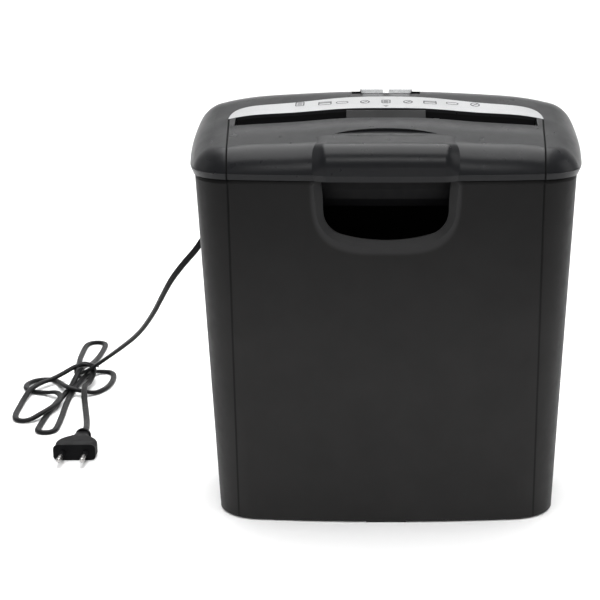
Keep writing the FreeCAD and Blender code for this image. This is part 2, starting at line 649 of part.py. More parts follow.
def make_bushes(side):
    x0 = PLATE_X if side > 0 else -PLATE_X - PLATE_THICKNESS
    rings = []
    for y in (CUTTER_Y_FRONT, CUTTER_Y_REAR):
        ring = rod(x0, x0 + PLATE_THICKNESS, y, CUTTER_Z, BUSH_RADIUS)
        rings.append(ring.cut(rod(x0 - 2, x0 + 4, y, CUTTER_Z, JOURNAL_RADIUS + 0.05)))
    return Part.makeCompound(rings)


# ---------------------------------------------------------------- gears
def involute(angle):
    return math.tan(angle) - angle


def gear(teeth, module, x0, x1, centre, phase):
    """Involute spur gear along X; phase is the direction of one tooth, from +Y towards +Z."""
    pitch = teeth * module / 2
    base = pitch * math.cos(PRESSURE_ANGLE)
    tip = pitch + module * 0.95
    root = pitch - module * 1.2
    half_tooth = math.pi / (2 * teeth) - BACKLASH / (2 * pitch)

    def half_angle(radius):
        pressure = math.acos(min(1.0, base / radius))
        return half_tooth + involute(PRESSURE_ANGLE) - involute(pressure)

    def place(radius, angle):
        return Vector(x0, centre[0] + radius * math.cos(angle), centre[1] + radius * math.sin(angle))

    start = max(base, root)
    radii = [start + (tip - start) * share for share in (0.0, 0.15, 0.4, 0.7, 1.0)]
    edges = []
    for i in range(teeth):
        middle = phase + 2 * math.pi * i / teeth
        rising = [place(radius, middle - half_angle(radius)) for radius in radii]
        falling = [place(radius, middle + half_angle(radius)) for radius in reversed(radii)]
        low_start = place(root, middle - half_angle(start))
        low_end = place(root, middle + half_angle(start))
        following = place(root, middle + 2 * math.pi / teeth - half_angle(start))
        flank_up = Part.BSplineCurve()
        flank_up.interpolate(rising)
        flank_down = Part.BSplineCurve()
        flank_down.interpolate(falling)
        if start > root + 0.01:
            edges.append(Part.makeLine(low_start, rising[0]))
        edges.append(flank_up.toShape())
        edges.append(Part.makeLine(rising[-1], falling[0]))
        edges.append(flank_down.toShape())
        if start > root + 0.01:
            edges.append(Part.makeLine(falling[-1], low_end))
        edges.append(Part.makeLine(low_end, following))
    return Part.Face(Part.Wire(edges)).extrude(Vector(x1 - x0, 0, 0))


def meshed_phase(direction, driver_phase, driver_teeth, teeth):
    """Phase of a gear that is in mesh with a driver seen from it along direction."""
    lag = driver_phase - direction
    return direction + math.pi + math.pi / teeth - lag * driver_teeth / teeth


def beside(centre, distance, degrees):
    angle = math.radians(degrees)
    return (centre[0] + distance * math.cos(angle), centre[1] + distance * math.sin(angle))


REAR_SHAFT = (CUTTER_Y_REAR, CUTTER_Z)
FRONT_SHAFT = (CUTTER_Y_FRONT, CUTTER_Z)
LAST_DISTANCE = LAST_STAGE_MODULE * (MAIN_TEETH + PINION_TEETH) / 2
FAST_DISTANCE = FAST_STAGE_MODULE * (WHEEL_TEETH + PINION_TEETH) / 2
STAGE_TWO = beside(REAR_SHAFT, LAST_DISTANCE, STAGE_TWO_DIRECTION)
STAGE_ONE = beside(STAGE_TWO, FAST_DISTANCE, STAGE_ONE_DIRECTION)
MOTOR = beside(STAGE_ONE, FAST_DISTANCE, MOTOR_DIRECTION)
MOTOR_SCREWS = [beside(MOTOR, 12.5, 90), beside(MOTOR, 12.5, 270)]

MAIN_PHASE = 0.0
STAGE_TWO_PHASE = meshed_phase(math.radians(STAGE_TWO_DIRECTION), MAIN_PHASE, MAIN_TEETH, PINION_TEETH)
STAGE_ONE_PHASE = meshed_phase(math.radians(STAGE_ONE_DIRECTION), STAGE_TWO_PHASE,
                               WHEEL_TEETH, PINION_TEETH)
MOTOR_PHASE = meshed_phase(math.radians(MOTOR_DIRECTION), STAGE_ONE_PHASE, WHEEL_TEETH, PINION_TEETH)


def make_sync_gear(centre, phase):
    wheel = gear(SYNC_TEETH, SYNC_MODULE, -LAYER_A[1], -LAYER_A[0], centre, phase)
    return wheel.cut(rod(-140, -100, centre[0], centre[1], JOURNAL_RADIUS))


def make_main_gear():
    wheel = gear(MAIN_TEETH, LAST_STAGE_MODULE, LAYER_A[0], LAYER_A[1], REAR_SHAFT, MAIN_PHASE)
    return wheel.cut(rod(100, 140, REAR_SHAFT[0], REAR_SHAFT[1], JOURNAL_RADIUS))


def make_compound_two():
    pinion = gear(PINION_TEETH, LAST_STAGE_MODULE, LAYER_A[0], LAYER_B[0], STAGE_TWO, STAGE_TWO_PHASE)
    wheel = gear(WHEEL_TEETH, FAST_STAGE_MODULE, LAYER_B[0], LAYER_B[1], STAGE_TWO, STAGE_TWO_PHASE)
    return pinion.fuse(wheel).cut(rod(100, 140, STAGE_TWO[0], STAGE_TWO[1], PIN_RADIUS + 0.05))


def make_compound_one():
    pinion = gear(PINION_TEETH, FAST_STAGE_MODULE, LAYER_B[0], LAYER_C[0], STAGE_ONE, STAGE_ONE_PHASE)
    collar = rod(LAYER_A[0], LAYER_B[0], STAGE_ONE[0], STAGE_ONE[1], 3.6)
    wheel = gear(WHEEL_TEETH, FAST_STAGE_MODULE, LAYER_C[0], LAYER_C[1], STAGE_ONE, STAGE_ONE_PHASE)
    solid = pinion.fuse([collar, wheel])
    return solid.cut(rod(100, 140, STAGE_ONE[0], STAGE_ONE[1], PIN_RADIUS + 0.05))


def make_motor_pinion():
    pinion = gear(PINION_TEETH, FAST_STAGE_MODULE, LAYER_C[0] - 0.4, LAYER_C[1] + 0.2, MOTOR, MOTOR_PHASE)
    return pinion.cut(rod(100, 140, MOTOR[0], MOTOR[1], 1.6))


def make_gear_pins():
    pins = []
    for centre, end in ((STAGE_TWO, LAYER_B[1] + 0.7), (STAGE_ONE, LAYER_C[1] + 0.6)):
        pin = rod(PLATE_X - 1.2, end, centre[0], centre[1], PIN_RADIUS)
        head = rod(PLATE_X - 2.4, PLATE_X - 0.02, centre[0], centre[1], 3.2)
        pins.append(pin.fuse(head))
    return Part.makeCompound(pins)


def make_retaining_rings():
    rings = []
    for centre, x in ((STAGE_TWO, LAYER_B[1] + 0.15), (STAGE_ONE, LAYER_C[1] + 0.15)):
        ring = rod(x, x + 0.5, centre[0], centre[1], 3.4)
        rings.append(ring.cut(rod(x - 1, x + 2, centre[0], centre[1], PIN_RADIUS)))
    return Part.makeCompound(rings)


# ---------------------------------------------------------------- motor
MOTOR_FRONT_X = PLATE_X - 0.05
MOTOR_BACK_X = MOTOR_FRONT_X - MOTOR_LENGTH


def motor_rod(x0, x1, radius):
    return rod(x0, x1, MOTOR[0], MOTOR[1], radius)


def make_motor_case():
    case = motor_rod(MOTOR_BACK_X, MOTOR_FRONT_X, MOTOR_RADIUS)
    case = case.cut(motor_rod(MOTOR_BACK_X - 1, MOTOR_FRONT_X - 1.5, MOTOR_RADIUS - 1.5))
    case = case.fuse(motor_rod(MOTOR_FRONT_X - 1, MOTOR_FRONT_X + 1.4, 5.2))
    for y, z in MOTOR_SCREWS:
        case = case.cut(rod(MOTOR_FRONT_X - 3, MOTOR_FRONT_X + 1, y, z, 1.3))
    return case.cut(motor_rod(MOTOR_FRONT_X - 4, MOTOR_FRONT_X + 4, MOTOR_SHAFT_RADIUS + 0.05))


def make_motor_magnets():
    ring = motor_rod(MOTOR_BACK_X + 10, MOTOR_FRONT_X - 8, MOTOR_RADIUS - 1.55)
    ring = ring.cut(motor_rod(MOTOR_BACK_X, MOTOR_FRONT_X, 13.2))
    y, z = MOTOR
    ring = ring.cut(box(0, 140, y - 5, y + 5, z - 30, z + 30))
    return Part.makeCompound(ring.Solids)


def make_motor_rotor():
    shaft = motor_rod(MOTOR_BACK_X - 12, LAYER_C[1] + 0.4, MOTOR_SHAFT_RADIUS)
    core = motor_rod(MOTOR_BACK_X + 12, MOTOR_FRONT_X - 10, 12.6)
    commutator = motor_rod(MOTOR_BACK_X + 4, MOTOR_BACK_X + 10, 5.0)
    return union([shaft, core, commutator])


def make_motor_end_cap():
    cap = motor_rod(MOTOR_BACK_X - 3, MOTOR_BACK_X - 0.02, MOTOR_RADIUS)
    cap = cap.fuse(motor_rod(MOTOR_BACK_X - 0.1, MOTOR_BACK_X + 2, MOTOR_RADIUS - 1.55))
    return cap.cut(motor_rod(MOTOR_BACK_X - 5, MOTOR_BACK_X + 5, MOTOR_SHAFT_RADIUS + 0.05)).removeSplitter()


def make_motor_fan():
    hub = motor_rod(MOTOR_BACK_X - 11, MOTOR_BACK_X - 5, 4.0)
    y, z = MOTOR
    blades = []
    for i in range(8):
        blade = box(MOTOR_BACK_X - 10.5, MOTOR_BACK_X - 5.5, y + 3, y + 15, z - 0.6, z + 0.6)
        blade.rotate(Vector(0, y, z), Vector(1, 0, 0), 45 * i)
        blades.append(blade)
    return union([hub] + blades).cut(motor_rod(0, 100, MOTOR_SHAFT_RADIUS))


def make_motor_screws():
    screws = []
    for y, z in MOTOR_SCREWS:
        head = rod(PLATE_X + PLATE_THICKNESS + 0.02, PLATE_X + PLATE_THICKNESS + 1.8, y, z, 2.6)
        shank = rod(MOTOR_FRONT_X - 1.2, PLATE_X + PLATE_THICKNESS + 0.1, y, z, 1.28)
        screws.append(head.fuse(shank).removeSplitter())
    return Part.makeCompound(screws)


def make_motor_cradle():
    """Plastic saddle on the base that carries the motor's free end."""
    y, z = MOTOR
    x0 = MOTOR_BACK_X + 6
    saddle = box(x0, x0 + 8, y - 14, y + 10, BASE_BOTTOM_Z + 2.2, z - 8)
    return saddle.cut(motor_rod(x0 - 1, x0 + 9, MOTOR_RADIUS + 0.05))


# ---------------------------------------------------------------- electrics
def make_control_board():
    board = box(-104, -26, 34, 72, BOARD_Z, BOARD_Z + 1.6)
    for x in (-99, -31):
        for y in (38, 66):
            board = board.cut(post(x, y, BOARD_Z - 1, BOARD_Z + 3, 1.6))
    return board


def make_board_posts():
    floor = BASE_BOTTOM_Z + 2.2
    pillars = []
    for x in (-99, -31):
        for y in (38, 66):
            peg = post(x, y, BOARD_Z - 1, BOARD_Z + 2.4, 1.55)
            pillars.append(post(x, y, floor, BOARD_Z, 2.8).fuse(peg).removeSplitter())
    return Part.makeCompound(pillars)


def make_relay():
    return box(-90, -71, 42, 57, BOARD_Z + 1.65, BOARD_Z + 17)


def make_capacitor():
    can = post(-56, 50, BOARD_Z + 1.65, BOARD_Z + 22, 6.5)
    return can.makeFillet(0.8, [edge for edge in can.Edges if edge.Length > 30])


def make_terminal_block():
    block = box(-46, -34, 40, 64, BOARD_Z + 1.65, BOARD_Z + 11)
    for i in range(4):
        block = block.cut(post(-40, 43 + i * 6, BOARD_Z + 6, BOARD_Z + 12, 1.8))
    return block


def make_thermal_cutout():
    """Overheat switch, clipped under the motor case."""
    y, z = MOTOR
    return box(72, 86, y - 4, y + 4, z - MOTOR_RADIUS - 5.4, z - MOTOR_RADIUS - 0.05)


def make_slide_switch():
    body = box(-17, 17, SWITCH_Y - 6, SWITCH_Y + 6, 293.5, 304.9)
    window = box(-4 - SWITCH_TRAVEL, 4 + SWITCH_TRAVEL, SWITCH_Y - 1.9, SWITCH_Y + 1.9, 297, 306)
    return body.cut(window)


def make_mode_switch_knob():
    """Two-lobed sliding knob with a notch in its middle and a stem down to the switch."""
    deck = box(-20, 20, SWITCH_Y - 5.6, SWITCH_Y + 5.6, 308.4, 310.6)
    lobes = [box(x0, x1, SWITCH_Y - 5.6, SWITCH_Y + 5.6, 310.4, 313.2)
             for x0, x1 in ((-20, -2.2), (2.2, 20))]
    knob = union([deck] + lobes)
    corners = [edge for edge in knob.Edges
               if abs(edge.tangentAt(edge.FirstParameter).z) > 0.9 and abs(edge.CenterOfMass.x) > 15]
    knob = knob.makeFillet(2.5, corners)
    stem = box(-4.4, 4.4, SWITCH_Y - 2.2, SWITCH_Y + 2.2, 305.3, 309)
    tip = box(-3.0, 3.0, SWITCH_Y - 1.5, SWITCH_Y + 1.5, 298.5, 305.6)
    return union([knob, stem, tip])


def make_sensor_lever():
    y, z = SENSOR_PIVOT
    hub = rod(36, 40, y, z, 3.0)
    arm = prism_x([(y, z - 1.6), (y - 15, z - 4.6), (y - 16, z - 3.2), (y, z + 1.6)], 36.6, 39.4)
    tail = prism_x([(y, z - 1.4), (y + 9, z - 3.6), (y + 9, z - 1.6), (y, z + 1.4)], 36.6, 39.4)
    return union([hub, arm, tail]).cut(rod(30, 50, y, z, 1.3))


def make_sensor_pin():
    y, z = SENSOR_PIVOT
    return rod(34, 47, y, z, 1.25)


def make_sensor_switch():
    return box(35, 41, 13.5, 29, 295.3, 302)


def make_sensor_bracket():
    y, z = SENSOR_PIVOT
    pin_hole = rod(30, 50, y, z, 1.25)
    cheeks = [box(x0, x0 + 1.8, 2.4, y + 3, z - 4, z + 3.4).cut(pin_hole) for x0 in (33.6, 40.4)]
    return Part.makeCompound(cheeks)


def make_interlock_plunger():
    stem = post(PLUNGER_X, PLUNGER_Y, PLUNGER_TIP_Z, 271.4, PLUNGER_RADIUS)
    collar = post(PLUNGER_X, PLUNGER_Y, BASE_FLANGE_Z + 4.8, BASE_FLANGE_Z + 6.4, 4.2)
    return union([stem, collar])


def make_interlock_switch():
    return box(PLUNGER_X - 8, PLUNGER_X + 8, PLUNGER_Y - 3, PLUNGER_Y + 6, 271.8, 277.5)


# ---------------------------------------------------------------- fasteners
def make_base_screws():
    screws = []
    for x, y in base_screw_places():
        head = post(x, y, BASE_BOTTOM_Z + 0.6, BASE_BOTTOM_Z + 2.9, 3.0)
        shank = post(x, y, BASE_BOTTOM_Z + 2.8, BASE_FLANGE_Z + 9.0, 1.6)
        head = head.cut(box(x - 2.0, x + 2.0, y - 0.4, y + 0.4, BASE_BOTTOM_Z, BASE_BOTTOM_Z + 1.5))
        screws.append(head.fuse(shank))
    return Part.makeCompound(screws)


def make_tie_nuts():
    nuts = []
    for y, z in TIE_RODS:
        for x0 in (-PLATE_X - PLATE_THICKNESS - 2.0, PLATE_X + PLATE_THICKNESS + 0.02):
            ring = [beside((y, z), 3.6, 60 * i) for i in range(6)]
            nut = prism_x(ring, x0, x0 + 1.9)
            nuts.append(nut.cut(rod(x0 - 1, x0 + 3, y, z, 2.0)))
    return Part.makeCompound(nuts)


# ---------------------------------------------------------------- mains cord
def tube_along(points, radius):
    """Round tube along straight runs joined by tangent arcs; prints its arc radii."""
    corners = [Vector(*point) for point in points]
    edges = []
    radii = []
    here = corners[0]
    for before, corner, after in zip(corners, corners[1:], corners[2:]):
        back = before - corner
        ahead = after - corner
        half_turn = (math.pi - back.getAngle(ahead)) / 2
        reach = 0.45 * min(back.Length, ahead.Length)
        radii.append(reach / math.tan(half_turn))
        back.normalize()
        ahead.normalize()
        start = corner + back * reach
        end = corner + ahead * reach
        bisector = back + ahead
        bisector.normalize()
        centre = corner + bisector * (radii[-1] / math.cos(half_turn))
        inward = corner - centre
        inward.normalize()
        edges.append(Part.LineSegment(here, start).toShape())
        edges.append(Part.Arc(start, centre + inward * radii[-1], end).toShape())
        here = end
    edges.append(Part.LineSegment(here, corners[-1]).toShape())
    path = Part.Wire(edges)
    section = Part.Wire([Part.Circle(corners[0], corners[1] - corners[0], radius).toShape()])
    tube = path.makePipeShell([section], True, False, 2)
    length = sum(edge.Length for edge in edges)
    print("cord length %.0f, smallest arc %.1f, volume ratio %.3f"
          % (length, min(radii), tube.Volume / (length * math.pi * radius**2)))
    return tube


def stadium(x0, y0, x1, y1, half_width, height):
    """Low slab round the straight line from one point to the other."""
    start = Vector(x0, y0, 0)
    end = Vector(x1, y1, 0)
    along = end - start
    side = Vector(-along.y, along.x, 0)
    side.normalize()
    side = side * half_width
    ring = [start + side, end + side, end - side, start - side]
    slab = Part.Face(Part.makePolygon(ring + ring[:1])).extrude(Vector(0, 0, height))
    return slab.fuse([post(x0, y0, 0, height, half_width), post(x1, y1, 0, height, half_width)])


def make_cord_hank():
    """Outer shape of the loose loops, which fan out from the tie and lie on the floor."""
    back_loop = stadium(-293, 312, -297.5, 407, 14.5, 6.0)
    front_loop = stadium(-293, 282, -296.5, 146, 12.5, 6.0)
    right_loop = stadium(-278, 300, -278, 260, 18.5, 7.0)
    left_loop = stadium(-306, 271, -320, 271, 23.5, 7.0)
    lower_loop = stadium(-313, 266, -317, 184, 20.0, 7.6)
    crossing = post(TIE_PLACE.x, TIE_PLACE.y, 0.2, 15.0, 14.0)
    hank = union([back_loop, front_loop, right_loop, left_loop, lower_loop, crossing])
    return hank.cut(box(-400, -200, 0, 500, -5, 0.2))


def make_strain_relief():
    """Tapered, ribbed sleeve that carries the cord out through the rear wall."""
    y0 = HEAD_REAR - SHELL_WALL
    axis = Vector(0, 1, 0)

    def ring(start, length, radius):
        return Part.makeCylinder(radius, length, Vector(CORD_EXIT.x, y0 + start, CORD_EXIT.z), axis)

    flange = ring(-2.6, 2.5, 7.0)
    neck = ring(-0.2, SHELL_WALL + 0.3, 5.9)
    collar = ring(SHELL_WALL + 0.05, 2.4, 7.4)
    sleeve = Part.makeCone(6.2, 3.5, RELIEF_LENGTH - 2.4,
                           Vector(CORD_EXIT.x, y0 + SHELL_WALL + 2.0, CORD_EXIT.z), axis)
    relief = union([flange, neck, collar, sleeve])
    for i in range(5):
        place = SHELL_WALL + 6.5 + i * 4.8
        groove = ring(place, 1.4, 9).cut(ring(place - 1, 4, 5.0 - 0.42 * i))
        relief = relief.cut(groove)
    return relief


def on_floor(shape):
    """Lay a piece drawn along -Y from the origin down at the cord's end."""
    shape.rotate(Vector(0, 0, 0), Vector(0, 0, 1), PLUG_TURN)
    shape.translate(PLUG_NECK)
    return shape


def plug_section(y, half_width, half_thickness):
    """Rounded rectangle across the plug at y."""
    radius = half_thickness * 0.55
    straight = half_width - radius
    upright = half_thickness - radius
    diagonal = radius * math.sqrt(0.5)
    edges = []
    for turn in range(4):
        along, across = (straight, upright) if turn % 2 == 0 else (upright, straight)
        points = [(along + radius, across), (along + diagonal, across + diagonal), (along, across + radius),
                  (-along, across + radius)]
        start, middle, end, following = [plug_point(y, turn, point) for point in points]
        edges.append(Part.Arc(start, middle, end).toShape())
        if along > 0.01:
            edges.append(Part.makeLine(end, following))
    return Part.Wire(edges)


def plug_point(y, turn, point):
    """A point of the plug's section, turned by quarter turns about its axis."""
    x, z = point
    for _ in range(turn):
        x, z = -z, x
    return Vector(x, y, z)


def make_plug_body():
    stations = [(0, 5.2, 5.2), (-9, 5.6, 5.4), (-14, 7.2, 6.0), (-24, 15.0, 6.6), (-32, 17.4, 6.7),
                (-43, 17.6, 6.75)]
    core = Part.makeLoft([plug_section(*station) for station in stations], True, False)
    flange = Part.makeCylinder(6.8, 2.6, Vector(0, 0.3, 0), Vector(0, -1, 0))
    sleeves = [Part.makeCylinder(2.0, 10.5, Vector(x, -42.5, 0), Vector(0, -1, 0)) for x in (-9.5, 9.5)]
    return on_floor(core.fuse([flange] + sleeves))


def make_plug_pins():
    pins = []
    for x in (-9.5, 9.5):
        pin = Part.makeCylinder(2.0, 10.2, Vector(x, -53.02, 0), Vector(0, -1, 0))
        tip = min(pin.Edges, key=lambda edge: edge.BoundBox.YMax)
        pins.append(pin.makeFillet(1.7, [tip]))
    return on_floor(Part.makeCompound(pins))


def make_twist_tie():
    """Short wire tie wound round the loops, its ends twisted together."""
    band = Part.makeTorus(7.2, 1.0, TIE_PLACE, Vector(0.35, 1, 0))
    tail = Part.makeCylinder(1.1, 18, TIE_PLACE + Vector(5, -1, 4.4), Vector(1, -0.3, -0.1))
    tie = band.fuse(tail)
    return tie.cut(box(-400, -200, 200, 400, -5, 0.3))


# ---------------------------------------------------------------- build
BUILDERS = {
    "waste_bin": make_waste_bin,
    "bin_feet": make_bin_feet,
    "head_shell": make_head_shell,
    "front_fascia": make_front_fascia,
    "control_panel": make_control_panel,
    "card_guide": make_card_guide,
    "throat_rear": make_throat_rear,
    "throat_front": make_throat_front,
    "head_base": make_head_base,
    "side_plate_left": lambda: make_side_plate(-1),
    "side_plate_right": lambda: make_side_plate(1),
    "tie_rods": make_tie_rods,
    "tie_rod_nuts": make_tie_nuts,
    "shaft_bushes_left": lambda: make_bushes(-1),
    "shaft_bushes_right": lambda: make_bushes(1),
    "cutter_shaft_front": lambda: make_cutter_shaft(CUTTER_Y_FRONT, -LAYER_A[1] - 1, PLATE_X + 1.9),
    "cutter_shaft_rear": lambda: make_cutter_shaft(CUTTER_Y_REAR, -LAYER_A[1] - 1, LAYER_A[1] + 0.3),
    "cutter_discs_front": lambda: make_cutters(CUTTER_Y_FRONT, -110.7),
    "cutter_discs_rear": lambda: make_cutters(CUTTER_Y_REAR, -104.2),
    "stripper_comb_front": lambda: make_comb(CUTTER_Y_FRONT, -110.7, -1),
    "stripper_comb_rear": lambda: make_comb(CUTTER_Y_REAR, -104.2, 1),
    "sync_gear_front": lambda: make_sync_gear(FRONT_SHAFT, 0.0),
    "sync_gear_rear": lambda: make_sync_gear(REAR_SHAFT, meshed_phase(0.0, 0.0, SYNC_TEETH, SYNC_TEETH)),
    "main_gear": make_main_gear,
    "compound_gear_two": make_compound_two,
    "compound_gear_one": make_compound_one,
    "motor_pinion": make_motor_pinion,
    "gear_pins": make_gear_pins,
    "retaining_rings": make_retaining_rings,
    "motor_case": make_motor_case,
    "motor_magnets": make_motor_magnets,
    "motor_rotor": make_motor_rotor,
    "motor_end_cap": make_motor_end_cap,
    "motor_fan": make_motor_fan,
    "motor_screws": make_motor_screws,
    "motor_cradle": make_motor_cradle,
    "thermal_cutout": make_thermal_cutout,
    "control_board": make_control_board,
    "board_posts": make_board_posts,
    "relay": make_relay,
    "capacitor": make_capacitor,
    "terminal_block": make_terminal_block,
    "slide_switch": make_slide_switch,
    "mode_switch_knob": make_mode_switch_knob,
    "sensor_lever": make_sensor_lever,
    "sensor_pin": make_sensor_pin,
    "sensor_bracket": make_sensor_bracket,
    "sensor_switch": make_sensor_switch,
    "interlock_plunger": make_interlock_plunger,
    "interlock_switch": make_interlock_switch,
    "base_screws": make_base_screws,
    "strain_relief": make_strain_relief,
    "power_cord": lambda: tube_along(ROUTE, CORD_RADIUS),
    "cord_hank": make_cord_hank,
    "cord_tail": lambda: tube_along(TAIL, CORD_RADIUS),
    "twist_tie": make_twist_tie,
    "plug_body": make_plug_body,
    "plug_pins": make_plug_pins,
}

for node, build in BUILDERS.items():
    shape = build()
    count = len(shape.Solids)
    print("%-22s solids %2d volume %9.0f valid %s" % (node, count, shape.Volume, shape.isValid()))
    save(node, shape)
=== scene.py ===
import json
import math
import bmesh
import bpy
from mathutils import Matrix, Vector


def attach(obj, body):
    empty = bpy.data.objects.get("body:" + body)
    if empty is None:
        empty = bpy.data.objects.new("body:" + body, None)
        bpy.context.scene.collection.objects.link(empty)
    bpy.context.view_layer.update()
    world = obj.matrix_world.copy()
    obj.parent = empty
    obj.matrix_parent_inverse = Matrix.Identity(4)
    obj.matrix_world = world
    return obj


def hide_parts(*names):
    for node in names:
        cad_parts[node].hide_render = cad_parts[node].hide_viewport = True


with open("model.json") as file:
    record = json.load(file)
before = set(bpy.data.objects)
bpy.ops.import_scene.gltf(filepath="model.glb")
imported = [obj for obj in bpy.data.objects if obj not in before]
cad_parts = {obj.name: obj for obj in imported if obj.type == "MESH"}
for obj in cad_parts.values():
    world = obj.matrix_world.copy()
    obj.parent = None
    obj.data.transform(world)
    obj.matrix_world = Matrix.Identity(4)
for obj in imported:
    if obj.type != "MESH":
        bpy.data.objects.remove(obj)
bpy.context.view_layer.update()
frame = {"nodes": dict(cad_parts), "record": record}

# A small paper shredder on its waste bin, in metres, in the frame of its CAD model:
# +Z up, front -Y, origin on the floor at the centre of the footprint.

MM = 0.001
NODES = frame["nodes"]

CAMERA_PLACE = (0.0, -1.2586, 0.4811)
CAMERA_TILT = 75.5              # degrees up from looking straight down
CAMERA_LENS = 101.4
CAMERA_SHIFT = -0.1433

CORD_WIDTH = 5.4 * MM
CORD_THICKNESS = 3.4 * MM
FIRST_TURNED_POINT = 12         # from here the flat cord turns onto its edge
TURNING_POINTS = 6

TIE_CENTRE = (-290.0, 297.0, 8.4)      # millimetres
TIE_RADII = (9.0, 7.6)
TIE_TURNS = 2.4
TIE_STEPS = 30
TIE_PITCH = 1.6
TIE_START = -0.6
TIE_END = [(5, -2.0, 1.5), (11, -5.0, 0.5), (18, -6.5, -1.5)]
TIE_WIDTH = 2.2 * MM
TIE_THICKNESS = 1.0 * MM

FASCIA_FRONT = -80.0 * MM       # the joint at each end of the fascia, front to slot
SEAM_FRONT = 113.2 * MM
SEAM_REAR = 117.6 * MM
# Painted shade in the joint and crease lines: width of the darkened line and of its darkest core.
JOINT_HALF_WIDTH = 1.1 * MM
JOINT_CORE = 0.35 * MM
JOINT_LEAST = 0.05              # share of the colour that is left in the line
# Painted shade along a crease at each front corner of the bin:
CREASE_ENDS = (0.012, 0.262)    # heights of the two ends of the bin's corner crease
CREASE_SPOTS = (111.5 * MM, 113.4 * MM)
CREASE_REACH = -20.0 * MM
CREASE_LEAST = 0.35
BIN_TOP = 262.2 * MM
# Painted shade: the bin's colour darkens towards its top, under the head.
PAINTED_SHADE_HEIGHTS = (0.10, 0.27)   # the bin darkens upwards between these
PAINTED_SHADE_SHARE = 0.6
# Painted light on the bevel round the hand hole: a lighter colour where light falls on the chamfer.
BEVEL_HALF_WIDTH = 54.5 * MM    # outer edge of the bevel round the hand hole
BEVEL_DEPTH = 54.0 * MM
BEVEL_POWER = 3.4
BEVEL_BLUR = (0.84, 1.06)
BEVEL_PAINTED_LIGHT_SHARE = 0.8
BEVEL_REACH = (-50.0 * MM, -40.0 * MM)

BLOTCH_SCALE = 38.0             # uneven colour of moulded plastic
CLOUD_SCALE = 120.0             # uneven gloss of moulded plastic
BLACK = (0.0058, 0.0060, 0.0068)
BLACK_TINT = (0.94, 0.98, 1.06)
BIN_BLACK = (0.0172, 0.0168, 0.0166)
BIN_IOR = 1.36
# colour of the painted shade on the upper bin
BIN_PAINTED_SHADE = (0.0015, 0.0015, 0.0016)
# colour of the painted light on the bevel round the hand hole
BEVEL_PAINTED_LIGHT = (0.027, 0.027, 0.0275)
# colour of the painted shade in the joint and crease lines
JOINT_PAINTED_SHADE = (0.0004, 0.0004, 0.0005)

PRINTED_NODE = "control_panel"
PRINT_LIFT = 0.06 * MM

FLOOR_HALF_WIDTH = 4.0
FLOOR_FRONT = -3.0
SWEEP_START = 1.6
SWEEP_RADIUS = 0.8
SWEEP_STEPS = 8
WALL_TOP = 3.2

# name, place, what it points at, width and height, watts
LIGHTS = [("overhead", (0.0, 0.35, 1.9), (0.0, 0.3, 0.2), (1.9, 2.5), 66.0),
          ("front_floor", (0.0, -2.1, 1.6), (0.0, -0.2, 0.0), (1.4, 0.6), 14.0),
          ("left_softbox", (-1.9, 0.3, 0.9), (0.0, 0.0, 0.2), (1.0, 1.2), 1.5),
          ("right_softbox", (1.9, 0.2, 0.9), (0.0, 0.0, 0.2), (1.0, 1.2), 4.0)]
SKY_STRENGTH = 0.40


# ---------------------------------------------------------------- camera
def make_camera():
    data = bpy.data.cameras.new("camera")
    data.lens = CAMERA_LENS
    data.sensor_width = 36.0
    data.shift_x = CAMERA_SHIFT
    camera = bpy.data.objects.new("camera", data)
    camera.location = CAMERA_PLACE
    camera.rotation_euler = (math.radians(CAMERA_TILT), 0.0, 0.0)
    bpy.context.collection.objects.link(camera)
    bpy.context.scene.camera = camera


# ---------------------------------------------------------------- mains cord, millimetres
ROUTE = [(-106, 117.6, 273.4), (-107.5, 127, 272.4), (-111, 136, 268), (-116, 143, 260), (-122, 148, 249.5),
         (-128, 151, 236), (-134, 152, 219), (-141, 151.5, 201), (-149, 150, 183), (-159.5, 148, 164.5),
         (-174, 153, 148), (-186, 161, 132), (-196, 175, 113.5), (-208, 195, 91), (-225, 223, 66),
         (-244, 250, 46.5), (-262, 271, 30), (-278, 286, 16), (-289, 295, 7.6)]
BACK_LOOP = [(-298, 310, 2.4), (-302, 332, 1.9), (-305, 356, 1.9), (-306.5, 379, 1.9), (-307.3, 400, 1.9),
             (-306.8, 413, 1.9), (-301.4, 420, 1.9), (-293.6, 420, 1.9), (-288, 413, 1.9), (-287.2, 400, 1.9),
             (-287, 381, 1.9), (-288, 361, 1.9), (-290, 340, 2.6), (-292, 318, 7.5), (-293, 300, 9.6)]
FRONT_LOOP = [(-294, 282, 9.6), (-297, 264, 2.2), (-300, 238, 1.9), (-303, 212, 1.9), (-304, 184, 1.9),
              (-304.4, 162, 1.9), (-304.4, 150, 1.9), (-304.2, 140, 1.9), (-299.7, 134.8, 1.9),
              (-293.3, 134.8, 1.9), (-288.8, 140, 1.9), (-288.6, 150, 1.9), (-289, 163, 1.9),
              (-290, 181, 1.9), (-291.5, 200, 1.9), (-293, 222, 1.9), (-293.5, 246, 1.9), (-292, 268, 3.5)]
RIGHT_LOOP = [(-288, 289, 5.2), (-285, 304, 5.4), (-278, 315, 2.6), (-267, 315, 1.9), (-262, 302, 1.9),
              (-261, 280, 1.9), (-264, 260, 1.9), (-272, 246, 2.2), (-282, 242, 5.6), (-293, 247, 5.9),
              (-302, 258, 5.9)]
LEFT_LOOP = [(-308, 272, 3.5), (-314, 286, 1.9), (-324, 292, 1.9), (-335, 288, 1.9), (-341, 276, 1.9),
             (-339, 261, 1.9), (-330, 251, 1.9), (-317, 246, 2.6), (-306, 239, 5.9), (-299, 226, 5.9)]
